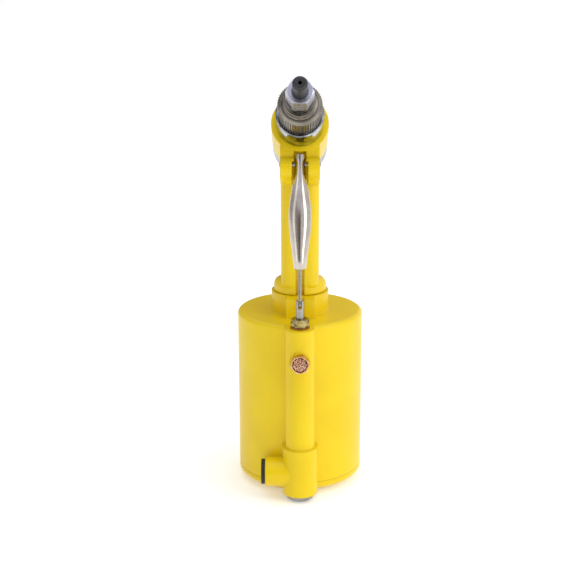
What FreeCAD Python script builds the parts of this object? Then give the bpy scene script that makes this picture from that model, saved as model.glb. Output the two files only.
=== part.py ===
import FreeCAD, Part
import math
import os
import re

import Sketcher
from FreeCAD import Vector

# Hydro-pneumatic blind rivet gun with a long lever trigger.
#
# A wide air cylinder stands on a rubber foot. Its piston pushes a steel ram up the handle, which is full of
# oil, and the oil draws a hollow piston back along the head. That piston carries the jaws, which pull the
# rivet's stem. The lever pushes a link down onto the valve stem, in a column on the front of the air cylinder.
#
# The air cylinder's axis is +Z, the nose points to -Y and up by head_tilt, and the origin is the centre of the
# foot's underside. Places on the head are measured along its axis, forward from where it crosses the other.

doc = FreeCAD.newDocument("rivet_gun")

# ---------------------------------------------------------------- driving dimensions, in millimetres and degrees
SIZES = {
    # clearances
    "fit_gap": (0.1, "radial clearance of parts that are screwed or pushed together"),
    "run_gap": (0.05, "radial clearance of parts that slide or turn"),
    # air cylinder and its bottom cap
    "cyl_r": (47, "air cylinder, outside radius"),
    "cyl_wall": (5, "air cylinder, wall"),
    "cyl_top": (133, "height of the air cylinder's top face"),
    "top_wall": (6, "air cylinder, thickness of the top"),
    "top_round": (3, "air cylinder, radius of the top edge"),
    "cap_base": (4, "height of the bottom cap's underside"),
    "cap_seam": (10.5, "height of the joint between cap and cylinder"),
    "cap_spigot": (11, "length of the cap inside the cylinder"),
    "cap_floor": (7, "thickness of the cap's floor"),
    "cap_chamfer": (3, "bottom cap, chamfer"),
    "seam_line": (0.5, "chamfer on the cap where it meets the cylinder"),
    "notch_gap": (0.4, "gap between the valve column and the notch for it in the cap"),
    "foot_r": (34, "rubber foot, outside radius"),
    "foot_wide": (10, "rubber foot, width of the ring"),
    "foot_sink": (2, "how far the foot sits in the cap"),
    # boss on the air cylinder that the handle screws into
    "boss_r": (21.4, "boss radius"),
    "boss_high": (15, "boss height"),
    "seam_gap": (0.4, "gap between the boss and the handle's flange"),
    "boss_bore": (15, "boss bore radius"),
    "block_half": (10.7, "half width of the block in front of the boss"),
    "block_face": (28, "distance of the block's face from the axis"),
    "groove_half": (3.1, "half width of the groove down the handle and block"),
    "groove_deep": (4.5, "depth of that groove"),
    # valve column
    "valve_out": (3, "distance of the valve's axis outside the cylinder's wall"),
    "column_r": (10.8, "valve column, upper radius"),
    "column_low_r": (13, "valve column, lower radius"),
    "column_step": (42, "height of the step between them"),
    "column_base": (5.5, "height of the column's underside"),
    "valve_bore": (6.6, "radius of the valve's lower chamber"),
    "neck_bore": (5.5, "radius of the valve's upper chamber and of the gland nut's thread"),
    "seat_bore": (4.4, "radius of the bore between the valve's two chambers"),
    "seat_low": (28, "height of the seat that the poppet closes"),
    "seat_high": (60, "height of the seat bore's upper end"),
    "inlet_z": (21.4, "height of the air inlet"),
    "inlet_r": (10.8, "inlet boss radius"),
    "inlet_reach": (25.7, "distance of the inlet's face from the valve axis"),
    "inlet_bore": (5.9, "inlet port radius"),
    "inlet_deep": (12, "depth of the inlet port"),
    "inlet_way": (3.5, "radius of the passage from the inlet port to the valve"),
    "ring_r": (9.3, "inlet ring, outside radius"),
    "ring_hole": (6.6, "inlet ring, inside radius"),
    "ring_thick": (2.9, "inlet ring, thickness"),
    "silencer_drop": (23, "how far the exhaust silencer is below the cylinder's top"),
    "silencer_boss": (7.8, "silencer boss radius"),
    "silencer_out": (11, "distance of the silencer boss's face from the valve's axis"),
    "silencer_bore": (4.4, "exhaust port radius"),
    "port_z": (31.5, "height of the passage from valve to cylinder"),
    "port_r": (2.6, "radius of that passage"),
    "vent_drop": (12, "how far the breather hole is below the cylinder's top"),
    "vent_r": (1.5, "radius of the breather hole"),
    # handle
    "handle_half": (14, "handle, half width"),
    "handle_front": (19, "distance of the handle's front from the axis"),
    "handle_back": (15, "distance of the handle's back from the axis"),
    "handle_round": (7.5, "handle, corner radius"),
    "handle_foot": (4, "handle, radius of the lower edge"),
    "flange_r": (19.6, "flange at the foot of the handle, radius"),
    "flange_high": (9.1, "flange height"),
    "flange_round": (5, "radius of the flange's shoulder"),
    "spigot_r": (14.9, "threaded end of the handle, radius"),
    "oil_bore": (8.5, "oil bore up the handle, radius"),
    "oil_drop": (31.7, "how far the oil bore ends below the head's crossing"),
    "oil_way": (2, "radius of the passage from handle to head"),
    # head
    "head_tilt": (25, "angle of the head above level"),
    "head_up": (132.7, "how far the head's axis crosses above the cylinder's top"),
    "head_r": (20.5, "head, outside radius"),
    "head_fore": (23.2, "distance of the head's front face along its axis"),
    "head_aft": (17.8, "distance of the head's back face behind the crossing"),
    "head_bore": (15.5, "head piston bore radius"),
    "head_round": (1.2, "head, radius of the front edge"),
    "rod_ring": (11.5, "place of the seal round the piston rod"),
    "neck_groove": (4.35, "half width of the groove in the neck, for the lever's top"),
    "lever_room": (25.6, "distance of that groove's floor from the axis"),
    "web_aft": (10, "back face of the wall that the piston rod passes"),
    "web_fore": (13, "front face of that wall"),
    "nose_thread": (14.9, "radius of the thread in the head's front"),
    "neck_face": (29.5, "distance of the front of the neck under the head from the axis"),
    "neck_drop": (16.7, "how far the neck's underside is below the head's crossing"),
    # ears that hold the lever
    "pin_out": (14.5, "distance of the lever's pin in front of the handle"),
    "pin_drop": (17.4, "how far the lever's pin is below the head's crossing"),
    "pin_r": (1.5, "lever pin radius"),
    "pin_proud": (0.6, "how far the pin's ends stand out"),
    "ear_r": (7.6, "ear radius"),
    "ear_drop": (3.1, "how far the ears' round front is below the pin"),
    "ear_gap": (5.75, "half width of the gap between the ears"),
    "ear_long": (17, "how far the ears' lower end is below the lever's pin"),
    "slot_up": (3, "how far the slot between the ears reaches above the pin"),
    "slot_floor": (17, "distance of the floor of the slot between the ears from the axis"),
    # lever and link
    "lever_y": (25.5, "how far in front of its pin the lever's lower eye is"),
    "lever_drop": (66, "how far below its pin the lever's lower eye is"),
    "lever_bow": (4, "how far the lever bows out from the line between its eyes"),
    "lever_half": (6.9, "lever, half width at its widest"),
    "lever_top_half": (2.9, "lever, half width at its top"),
    "lever_low_half": (3.5, "lever, half width at its lower end"),
    "lever_thick": (7, "lever, depth of the channel from front to back"),
    "lever_skin": (1.2, "lever, thickness of the metal"),
    "lever_top": (6.5, "how far the lever reaches above its pin"),
    "lever_eye_r": (3.2, "lever, radius of the eye on its pin"),
    "link_r": (1.25, "link wire radius"),
    "link_eye": (2, "link eye radius"),
    "link_flat": (1.1, "half thickness of the link's eyes"),
    "eye_pin": (0.9, "radius of the pins through the link's eyes"),
    "eye_slack": (0.55, "radial slack of the link's lower eye on its pin"),
    # valve
    "stem_r": (2.85, "valve stem radius"),
    "fork_up": (17.5, "how far the pin in the valve stem's fork is above the cylinder's top"),
    "fork_tip": (3, "how far the fork reaches above its pin"),
    "fork_deep": (5.8, "depth of the fork's slot below its tip"),
    "nut_flats": (11.4, "gland nut, across flats"),
    "nut_high": (6, "gland nut, height of the hexagon"),
    "nut_long": (14, "gland nut, length of the thread"),
    "washer_r": (7, "copper washer radius"),
    "washer_thick": (1, "copper washer thickness"),
    "land_long": (8, "valve stem, length of the land that closes the exhaust"),
    "waist_r": (2.4, "valve stem, waist radius"),
    "poppet_r": (5.8, "poppet radius"),
    "poppet_thick": (5.5, "poppet thickness"),
    "face_thick": (1.5, "thickness of the poppet's rubber face"),
    "plug_r": (9.9, "valve plug head radius"),
    "plug_base": (1, "height of the valve plug's underside"),
    "plug_long": (8, "valve plug, length of the thread"),
    "plug_cup": (6, "height of the floor of the plug's cup"),
    "spring_r": (4.3, "valve spring, mean radius"),
    "spring_wire": (0.5, "valve spring, wire radius"),
    # air piston and ram
    "piston_z": (35, "height of the underside of the air piston's rim at rest"),
    "piston_thick": (10, "air piston thickness"),
    "hub_r": (25, "air piston, hub radius"),
    "hub_z": (20, "height of the hub's underside at rest"),
    "bumper_hole": (12.5, "bumper, inside radius"),
    "ram_thread": (6, "radius of the ram's threaded end"),
    "ram_nut": (18, "ram nut, across flats"),
    "ram_nut_high": (6.5, "ram nut height"),
    "gland_thick": (6, "ram gland thickness"),
    "ram_r": (8, "ram radius"),
    "ram_up": (29, "how far the ram's top is above the cylinder's top at rest"),
    # head piston, jaws and nose
    "rod_r": (6, "front rod radius"),
    "tube_r": (4.5, "rear tube radius"),
    "stem_hole": (2.4, "radius of the hole that spent stems leave by"),
    "pull_back": (2, "back face of the head piston at rest"),
    "pull_front": (9.5, "front face of the head piston at rest"),
    "tube_fore": (8, "front end of the stem tube"),
    "rear_end": (37.8, "distance of the rear cap's end behind the crossing"),
    "rear_r": (20.3, "rear cap radius"),
    "rear_wall": (4, "rear cap, end wall"),
    "rear_spigot": (7.5, "rear cap, length of the threaded spigot"),
    "rear_thread": (17.5, "radius of that thread"),
    "return_r": (11.6, "return spring, mean radius"),
    "return_wire": (1.3, "return spring, wire radius"),
    "case_aft": (34, "back end of the jaw case"),
    "case_long": (30, "jaw case length"),
    "case_r": (10.4, "jaw case, outside radius"),
    "case_wall": (6, "jaw case, thickness of the back wall"),
    "cone_fore_r": (4.2, "jaw cone, radius at its front"),
    "cone_aft_r": (7.4, "jaw cone, radius at its back"),
    "cone_long": (16, "jaw cone, length"),
    "jaw_long": (11, "jaw length"),
    "jaw_gap": (1.75, "radius between the open jaws"),
    "jaw_fore": (65.6, "front end of the jaws at rest"),
    "jaw_play": (0.2, "gap between the open jaws and their cone"),
    "jaw_angle": (88, "angle that each jaw spans"),
    "pusher_r": (5, "jaw pusher, radius"),
    "pusher_rim": (6.9, "jaw pusher, radius of its rim"),
    "pusher_long": (7, "jaw pusher length"),
    "jaw_spring_r": (4.8, "jaw spring, mean radius"),
    "sleeve_r": (17, "front sleeve radius"),
    "sleeve_bore": (11.2, "front sleeve bore radius"),
    "sleeve_end": (45.9, "front end of the front sleeve"),
    "sleeve_spigot": (12.9, "front sleeve, radius of the spigot inside the collar"),
    "spigot_reach": (6, "front sleeve, length of that spigot"),
    "collar_r": (14.9, "knurled collar, radius over the ridges"),
    "collar_end": (65.2, "front end of the knurling"),
    "shoulder_r": (11.2, "radius at the front of the collar's shoulder"),
    "shoulder_end": (73, "front end of the shoulder"),
    "collar_floor": (66, "front end of the collar's bore"),
    "neck_r": (8.2, "radius of the groove behind the nose nut"),
    "nut_thread": (6.6, "radius of the thread under the nose nut"),
    "thread_end": (86, "front end of that thread"),
    "lip_end": (89, "front end of the nosepiece's lip"),
    "nose_nut_aft": (77.5, "back end of the nose nut"),
    "nose_nut_fore": (93.2, "front end of the nose nut"),
    "nose_flats": (16.6, "nose nut, across flats"),
    "tip_aft_r": (5.4, "nosepiece, radius where it leaves the nut"),
    "tip_fore_r": (4.95, "nosepiece, radius near its tip"),
    "tip_end": (109.2, "front end of the nosepiece"),
    "tip_chamfer": (1.6, "nosepiece, chamfer"),
    "tip_thread": (4, "radius of the nosepiece's thread and tail"),
    "rivet_hole": (1.3, "radius of the hole that the rivet's stem enters"),
    # fasteners and seals
    "seal_r": (0.9, "section radius of the small seals"),
    "fat_seal": (1.6, "section radius of the air piston's and the cap's seals"),
    "oil_screw_r": (2.5, "oil filler screw, thread radius"),
    "oil_screw_head": (4, "oil filler screw, head radius"),
    "oil_screw_s": (7.6, "place of the oil filler screw along the head"),
    "screw_seat": (1.4, "depth of the recess round the oil filler screw"),
    "screw_long": (3.4, "oil filler screw, length of the thread"),
    "silencer_thread": (4.3, "silencer, thread radius"),
    "silencer_plug": (5.6, "radius of the silencer's porous disc"),
    "silencer_flats": (12.4, "silencer, across flats"),
    "silencer_thick": (5, "silencer, thickness of the hexagon"),
}

# places that follow from other sizes
PLACES = {
    "valve_y": "(cyl_r + valve_out)",
    "silencer_z": "(cyl_top - silencer_drop)",
    "silencer_face": "(valve_y + silencer_out)",
    "vent_z": "(cyl_top - vent_drop)",
    "head_z": "(cyl_top + head_up)",
    "oil_top": "(head_z - oil_drop)",
    "neck_base": "(head_z - neck_drop)",
    "pin_y": "(handle_front + pin_out)",
    "pin_z": "(head_z - pin_drop)",
    "ear_foot": "(pin_z - ear_long)",
    "slot_top": "(pin_z + slot_up)",
    "fork_z": "(cyl_top + fork_up)",
    "ram_top": "(cyl_top + ram_up)",
}

sheet = doc.addObject("Spreadsheet::Sheet", "sizes")
for row, (alias, (value, meaning)) in enumerate(SIZES.items(), start=1):
    sheet.set(f"A{row}", meaning)
    sheet.set(f"B{row}", str(value))
    sheet.setAlias(f"B{row}", alias)
doc.recompute()


def spelled(formula):
    """A formula in the sheet's aliases, from one whose words are aliases and places."""
    while any(word in PLACES for word in re.findall(r"[a-z_]+", formula)):
        formula = re.sub(r"[a-z_]+", lambda w: PLACES.get(w.group(), w.group()), formula)
    return re.sub(r"[a-z_]+", lambda w: "sizes." + w.group() if w.group() in SIZES else w.group(), formula)


def size(formula):
    """The present value of a driving dimension, a place or a sum of them."""
    return float(sheet.evalExpression(spelled(formula)))


def bind(thing, prop, formula):
    """Binds a property to a formula in aliases and places."""
    thing.setExpression(prop, spelled(formula))


# ---------------------------------------------------------------- places and directions
X_AXIS = Vector(1, 0, 0)
ORIGIN = ("0", "0", "0")
UP = ("1; 0; 0", "0")
FORWARD = ("1; 0; 0", "90")
BACKWARD = ("1; 0; 0", "-90")
LEFTWARD = ("0; 1; 0", "-90")
RIGHTWARD = ("0; 1; 0", "90")
NOSEWARD = ("1; 0; 0", "90 - head_tilt")
TAILWARD = ("1; 0; 0", "-90 - head_tilt")
HEAD_UP = ("1; 0; 0", "-head_tilt")


def on_head(along, up="0"):
    """The place that far along the head's axis and that far above it."""
    turn = "head_tilt * 1 deg"
    return (
        "0",
        f"({up}) * sin({turn}) - ({along}) * cos({turn})",
        f"head_z + ({along}) * sin({turn}) + ({up}) * cos({turn})",
    )


def at_valve(height):
    """A place on the valve's axis."""
    return ("0", "-valve_y", height)


def put(thing, spot=ORIGIN, direction=UP, spin="0"):
    """Sets where a piece's own origin lies, which way its own Z points and how far it is spun about that."""
    axis, angle = direction
    turns = f"rotation(vector({axis}); {angle}) * rotation(vector(0; 0; 1); {spin})"
    bind(thing, "Placement", f"placement(vector({'; '.join(spot)}); {turns})")
    return thing


def cylinder(name, radius, height, spot=ORIGIN, direction=UP):
    made = doc.addObject("Part::Cylinder", name)
    bind(made, "Radius", radius)
    bind(made, "Height", height)
    return put(made, spot, direction)


def cone(name, radius_low, radius_high, height, spot=ORIGIN, direction=UP, spin="0", angle="360"):
    made = doc.addObject("Part::Cone", name)
    bind(made, "Radius1", radius_low)
    bind(made, "Radius2", radius_high)
    bind(made, "Height", height)
    bind(made, "Angle", angle)
    return put(made, spot, direction, spin)


def box(name, x, y, z, spot):
    made = doc.addObject("Part::Box", name)
    bind(made, "Length", x)
    bind(made, "Width", y)
    bind(made, "Height", z)
    return put(made, spot)


def hexagon(name, flats, height, spot, direction=UP, spin="0"):
    """A hexagonal bar with two of its corners on its own X unless it is spun."""
    made = doc.addObject("Part::Prism", name)
    made.Polygon = 6
    bind(made, "Circumradius", f"({flats}) / 2 / cos(30 deg)")
    bind(made, "Height", height)
    return put(made, spot, direction, spin)


def chamfered_hexagon(name, flats, height, spot, direction=UP, spin="0"):
    """A hexagonal bar whose corners are turned off at 30 degrees at its far end, down to the flats."""
    bar = hexagon(name + "_bar", flats, height, spot, direction, spin)
    round_low = f"({flats}) / 2 + ({height}) / tan(30 deg)"
    limit = cone(name + "_limit", round_low, f"({flats}) / 2", height, spot, direction)
    return common(name, bar, limit)


def fuse(name, *things):
    made = doc.addObject("Part::MultiFuse", name)
    made.Shapes = list(things)
    made.Refine = True
    return made


def cut(name, base, *tools):
    made = doc.addObject("Part::Cut", name)
    made.Base = base
    made.Tool = tools[0] if len(tools) == 1 else fuse(name + "_tools", *tools)
    made.Refine = True
    return made


def common(name, *things):
    made = doc.addObject("Part::MultiCommon", name)
    made.Shapes = list(things)
    return made


def rounded(name, base, radius, chosen):
    """A fillet on the base's edges for which chosen is true."""
    doc.recompute()
    made = doc.addObject("Part::Fillet", name)
    made.Base = base
    made.Edges = [(i, radius, radius) for i, edge in enumerate(base.Shape.Edges, start=1) if chosen(edge)]
    return made


def is_circle(edge, radius, z):
    """Whether an edge is a circle of that radius at that height."""
    curve = edge.Curve
    return isinstance(curve, Part.Circle) and abs(curve.Radius - radius) < 1e-4 and abs(curve.Center.z - z) < 1e-4


PARTS = []


def piece(label, thing):
    """Marks a finished sub-part."""
    thing.Label = label
    PARTS.append(thing)
    return thing


def outlined(name, role, outline):
    """A body whose sketch, on that plane of its own origin, is a closed polygon with corners given by formulas."""
    body = doc.addObject("PartDesign::Body", name + "_body")
    sketch = body.newObject("Sketcher::SketchObject", name + "_sketch")
    plane = [f for f in body.Origin.OriginFeatures if f.Role == role][0]
    sketch.AttachmentSupport = [(plane, "")]
    sketch.MapMode = "FlatFace"
    count = len(outline)
    steps = [2 * math.pi * i / count for i in range(count)]
    ring = [Vector(60 + 40 * math.cos(a), 60 + 40 * math.sin(a), 0) for a in steps]
    for i in range(count):
        sketch.addGeometry(Part.LineSegment(ring[i], ring[(i + 1) % count]), False)
    for i in range(count):
        sketch.addConstraint(Sketcher.Constraint("Coincident", i, 2, (i + 1) % count, 1))
    for i, corner in enumerate(outline):
        for kind, axis, formula in zip(("DistanceX", "DistanceY"), (-2, -1), corner):
            if formula == "0":
                sketch.addConstraint(Sketcher.Constraint("PointOnObject", i, 1, axis))
                continue
            number = sketch.addConstraint(Sketcher.Constraint(kind, -1, 1, i, 1, 50.0))
            bind(sketch, f"Constraints[{number}]", formula)
    return body, sketch


def turned(name, outline, spot=ORIGIN, direction=UP):
    """A body turned from a closed outline of (radius, height) corners about its own Z."""
    body, sketch = outlined(name, "XZ_Plane", outline)
    revolution = body.newObject("PartDesign::Revolution", name + "_turned")
    revolution.Profile = sketch
    revolution.ReferenceAxis = (sketch, ["V_Axis"])
    revolution.Angle = 360
    return put(body, spot, direction)


def side_plate(name, outline, width):
    """A body of that width, centred on the middle plane, from a closed outline of (y, z) corners."""
    body, sketch = outlined(name, "YZ_Plane", outline)
    pad = body.newObject("PartDesign::Pad", name + "_pad")
    pad.Profile = sketch
    pad.Midplane = True
    bind(pad, "Length", width)
    return body


def ring_seal(label, radius, section, spot, direction=UP):
    """A rubber O-ring of that mean radius."""
    made = doc.addObject("Part::Torus", label + "_ring")
    bind(made, "Radius1", radius)
    bind(made, "Radius2", section)
    return piece(label, put(made, spot, direction))


def coil_spring(label, radius, wire, length, turns, spot, direction=UP):
    """A compression spring of round wire."""
    pitch = (length - 2 * wire) / turns
    helix = Part.makeHelix(pitch, length - 2 * wire, radius)
    helix.translate(Vector(0, 0, wire))
    section = Part.makeCircle(wire, Vector(radius, 0, wire), Vector(0, 1, pitch / (2 * math.pi * radius)))
    made = doc.addObject("Part::Feature", label + "_coil")
    made.Shape = Part.Wire(helix.Edges).makePipeShell([Part.Wire([section])], True, True)
    return piece(label, put(made, spot, direction))


# ---------------------------------------------------------------- air cylinder, cap and foot
def air_cylinder():
    """The casting: barrel, boss for the handle, valve column, inlet boss and silencer boss."""
    high = "cyl_top - cap_seam"
    low_high = "column_step - cap_seam"
    spout = "silencer_face - valve_y"
    solid = fuse(
        "cylinder_solid",
        cylinder("barrel", "cyl_r", high, ("0", "0", "cap_seam")),
        cylinder("column", "column_r", "cyl_top - column_base", at_valve("column_base")),
        box("column_web", "2 * column_r", "valve_y", high, ("-column_r", "-valve_y", "cap_seam")),
        cylinder("column_foot", "column_low_r", "column_step - column_base", at_valve("column_base")),
        box("foot_web", "2 * column_low_r", "valve_y", low_high, ("-column_low_r", "-valve_y", "cap_seam")),
        cylinder("inlet_boss", "inlet_r", "inlet_reach", at_valve("inlet_z"), LEFTWARD),
        cylinder("silencer_spout", "silencer_boss", spout, at_valve("silencer_z"), FORWARD),
        cylinder("boss", "boss_r", "boss_high", ("0", "0", "cyl_top")),
        box("block", "2 * block_half", "block_face", "boss_high", ("-block_half", "-block_face", "cyl_top")),
    )
    ledge = "cyl_top - gland_thick / 2"
    casting = cut(
        "cylinder_casting",
        solid,
        cylinder("bore", "cyl_r - cyl_wall", "cyl_top - top_wall - cap_seam", ("0", "0", "cap_seam")),
        cylinder("boss_hole", "boss_bore", "boss_high + gland_thick", ("0", "0", ledge)),
        cylinder("ram_hole", "ram_r + 1", "top_wall", ("0", "0", "cyl_top - top_wall")),
        cylinder("low_chamber", "valve_bore", "seat_low - column_base", at_valve("column_base")),
        cylinder("seat_hole", "seat_bore", "seat_high - seat_low", at_valve("seat_low")),
        cylinder("high_chamber", "neck_bore", "cyl_top - seat_high", at_valve("seat_high")),
        cylinder("inlet_hole", "inlet_bore", "inlet_deep", ("-inlet_reach", "-valve_y", "inlet_z"), RIGHTWARD),
        cylinder("inlet_passage", "inlet_way", "inlet_reach", at_valve("inlet_z"), LEFTWARD),
        cylinder("exhaust_hole", "silencer_bore", spout, at_valve("silencer_z"), FORWARD),
        cylinder("air_hole", "port_r", "valve_y - cyl_r + cyl_wall + 1", at_valve("port_z"), BACKWARD),
        cylinder("vent_hole", "vent_r", "cyl_r + 1", ("0", "0", "vent_z"), BACKWARD),
        box(
            "block_groove", "2 * groove_half", "groove_deep", "boss_high",
            ("-groove_half", "-block_face", "cyl_top"),
        ),
    )
    top, radius = size("cyl_top"), size("cyl_r")
    piece(
        "air_cylinder",
        rounded("cylinder_rim", casting, size("top_round"), lambda edge: is_circle(edge, radius, top)),
    )


def cap_and_foot():
    spigot = "cyl_r - cyl_wall - fit_gap"
    seam = "cap_seam - cap_base"
    groove = f"{seam} + 3"
    groove_end = f"{groove} + 2.4 * fat_seal"
    groove_floor = f"{spigot} - 2 * fat_seal - 0.1"
    cap = turned(
        "cap",
        [
            ("0", "cap_floor"),
            ("0", "0"),
            ("foot_r - foot_wide", "0"),
            ("foot_r - foot_wide", "foot_sink"),
            ("foot_r", "foot_sink"),
            ("foot_r", "0"),
            ("cyl_r - cap_chamfer", "0"),
            ("cyl_r", "cap_chamfer"),
            ("cyl_r", f"{seam} - seam_line"),
            ("cyl_r - seam_line", seam),
            (spigot, seam),
            (spigot, groove),
            (groove_floor, groove),
            (groove_floor, groove_end),
            (spigot, groove_end),
            (spigot, f"{seam} + cap_spigot"),
            (f"{spigot} - 7", f"{seam} + cap_spigot"),
            (f"{spigot} - 7", "cap_floor"),
        ],
        ("0", "0", "cap_base"),
    )
    notch = cylinder("cap_notch", "column_low_r + notch_gap", "cap_seam", at_valve("0"))
    piece("bottom_cap", cut("cap_cut", cap, notch))
    seal_z = ("0", "0", f"cap_base + {groove} + 1.2 * fat_seal")
    ring_seal("cap_seal", "cyl_r - cyl_wall - fat_seal - fit_gap / 2", "fat_seal", seal_z)
    foot = turned(
        "foot",
        [
            ("foot_r - foot_wide + fit_gap", "1"),
            ("foot_r - foot_wide + fit_gap + 1", "0"),
            ("foot_r - fit_gap - 1", "0"),
            ("foot_r - fit_gap", "1"),
            ("foot_r - fit_gap", "cap_base + foot_sink"),
            ("foot_r - foot_wide + fit_gap", "cap_base + foot_sink"),
        ],
    )
    piece("rubber_foot", foot)


def inlet_and_silencer():
    face = ("-inlet_reach", "-valve_y", "inlet_z")
    ring = cylinder("inlet_ring_bar", "ring_r", "ring_thick", face, LEFTWARD)
    hole = cylinder("inlet_ring_hole", "ring_hole", "ring_thick", face, LEFTWARD)
    piece("inlet_ring", cut("inlet_ring_cut", ring, hole))
    mouth = ("0", "-silencer_face", "silencer_z")
    back = ("0", "-silencer_face + 5", "silencer_z")
    bar = chamfered_hexagon("silencer_hexagon", "silencer_flats", "silencer_thick", mouth, FORWARD, "12")
    thread = cylinder("silencer_stub", "silencer_thread", "5", back, FORWARD)
    inside = cylinder("silencer_inside", "silencer_thread - 1.2", "5 + silencer_thick", back, FORWARD)
    seat_y = ("0", "-silencer_face - silencer_thick + 2", "silencer_z")
    seat = cylinder("silencer_seat", "silencer_plug", "2", seat_y, FORWARD)
    piece("silencer_body", cut("silencer_cut", fuse("silencer_solid", bar, thread), inside, seat))
    disc = turned(
        "silencer_disc",
        [
            ("0", "0"),
            ("silencer_plug - fit_gap", "0"),
            ("silencer_plug - fit_gap", "1.5"),
            ("silencer_plug - 1", "2.3"),
            ("0", "2.6"),
        ],
        seat_y,
        FORWARD,
    )
    piece("silencer_filter", disc)


# ---------------------------------------------------------------- handle and head
def ears_and_neck():
    """The knuckles round the lever's pin, their gusset and the square neck, with the groove for the lever's top."""
    fall, reach = "(pin_z - ear_drop - ear_foot)", "(pin_y - handle_front)"
    lean = f"(acos(ear_r / hypot({reach}; {fall})) - atan({reach} / {fall}))"
    centre = "pin_z - ear_drop"
    gusset = side_plate(
        "gusset",
        [
            ("-pin_y", centre),
            (f"-pin_y - ear_r * sin({lean})", f"{centre} - ear_r * cos({lean})"),
            ("-handle_front", "ear_foot"),
            ("-slot_floor + 5", "ear_foot"),
            ("-slot_floor + 5", f"{centre} + ear_r"),
            ("-pin_y", f"{centre} + ear_r"),
        ],
        "2 * handle_half",
    )
    knuckle = cylinder("knuckle", "ear_r", "2 * handle_half", ("-handle_half", "-pin_y", centre), RIGHTWARD)
    block = box(
        "neck_block", "2 * handle_half", "neck_face", "head_z - neck_base",
        ("-handle_half", "-neck_face", "neck_base"),
    )
    ahead = cylinder("head_shadow", "3 * head_r", "neck_face", on_head("head_fore - 0.5"), NOSEWARD)
    groove = box(
        "neck_cut", "2 * neck_groove", "neck_face", "head_r",
        ("-neck_groove", "-lever_room - neck_face", "neck_base"),
    )
    trimmed = cut("neck_trimmed", block, ahead)
    return cut("ears_and_neck", fuse("ears_and_block", gusset, knuckle, trimmed), groove)


def oil_passage():
    """The drilled way from the top of the oil bore to the space in front of the head's piston."""
    tilt = math.radians(size("head_tilt"))
    along, below = size("web_aft") - 1.2, size("head_bore") - 1.5
    start = Vector(0, -3, size("oil_top") - 3)
    end = Vector(
        0,
        -along * math.cos(tilt) - below * math.sin(tilt),
        size("head_z") + along * math.sin(tilt) - below * math.cos(tilt),
    )
    made = doc.addObject("Part::Feature", "oil_passage")
    made.Shape = Part.makeCylinder(size("oil_way"), (end - start).Length, start, end - start)
    return made


def handle_casting():
    """One casting: the handle with its flange and threaded end, the ears, and the head's barrel."""
    low = "(cyl_top + boss_high + seam_gap)"
    spigot_end = "(cyl_top + gland_thick / 2)"
    foot = f"({low} + flange_high - flange_round)"
    grip = box(
        "grip", "2 * handle_half", "handle_front + handle_back", f"head_z - {foot}",
        ("-handle_half", "-handle_front", foot),
    )
    foot_z, high_z = size(foot), size("head_z")
    shoulder_z, flange_r = size(f"{low} + flange_high"), size("flange_r")

    def is_upright(edge):
        ends = sorted(v.Point.z for v in edge.Vertexes)
        return abs(ends[0] - foot_z) < 1e-4 and abs(ends[-1] - high_z) < 1e-4

    def is_low(edge):
        return all(abs(v.Point.z - foot_z) < 1e-4 for v in edge.Vertexes)

    upright = rounded("grip_upright", grip, size("handle_round"), is_upright)
    flange = cylinder("flange", "flange_r", "flange_high", ("0", "0", low))
    solid = fuse(
        "casting_solid",
        rounded("grip_rounded", upright, size("handle_foot"), is_low),
        rounded("flange_domed", flange, size("flange_round"), lambda edge: is_circle(edge, flange_r, shoulder_z)),
        cylinder("spigot", "spigot_r", f"{low} - {spigot_end}", ("0", "0", spigot_end)),
        cylinder("head_barrel", "head_r", "head_fore + head_aft", on_head("-head_aft"), NOSEWARD),
        ears_and_neck(),
    )
    casting = cut(
        "handle_cut",
        solid,
        cylinder("oil_hole", "oil_bore", f"oil_top - {spigot_end}", ("0", "0", spigot_end)),
        oil_passage(),
        cylinder("piston_hole", "head_bore", "head_aft + web_aft", on_head("-head_aft"), NOSEWARD),
        cylinder("rear_hole", "rear_thread", "rear_spigot + fit_gap", on_head("-head_aft"), NOSEWARD),
        cylinder("rod_hole", "rod_r + run_gap", "web_fore - web_aft", on_head("web_aft"), NOSEWARD),
        cylinder(
            "rod_groove", "rod_r + 2 * seal_r + 0.1", "2 * seal_r + 0.2",
            on_head("rod_ring - seal_r - 0.1"), NOSEWARD,
        ),
        cylinder("nose_hole", "nose_thread", "head_fore - web_fore", on_head("web_fore"), NOSEWARD),
        cylinder("rear_room", "rear_r + 3", "rear_end", on_head("-head_aft"), TAILWARD),
        cylinder("filler_hole", "oil_screw_r + fit_gap", "head_r", on_head("oil_screw_s"), HEAD_UP),
        cylinder("filler_seat", "oil_screw_head + 0.8", "3", on_head("oil_screw_s", "head_r - screw_seat"), HEAD_UP),
        box(
            "handle_groove", "2 * groove_half", "flange_r + groove_deep", "ear_foot - cyl_top",
            ("-groove_half", "-handle_front - flange_r", "cyl_top"),
        ),
        box("slot", "2 * ear_gap", "30", "slot_top - ear_foot", ("-ear_gap", "-slot_floor - 30", "ear_foot")),
        cylinder("pin_hole", "pin_r", "2 * handle_half", ("-handle_half", "-pin_y", "pin_z"), RIGHTWARD),
    )
    piece("handle_casting", casting)


def lever_pin():
    spot = ("-handle_half - pin_proud", "-pin_y", "pin_z")
    piece("lever_pin", cylinder("lever_pin_bar", "pin_r", "2 * handle_half + 2 * pin_proud", spot, RIGHTWARD))


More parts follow.
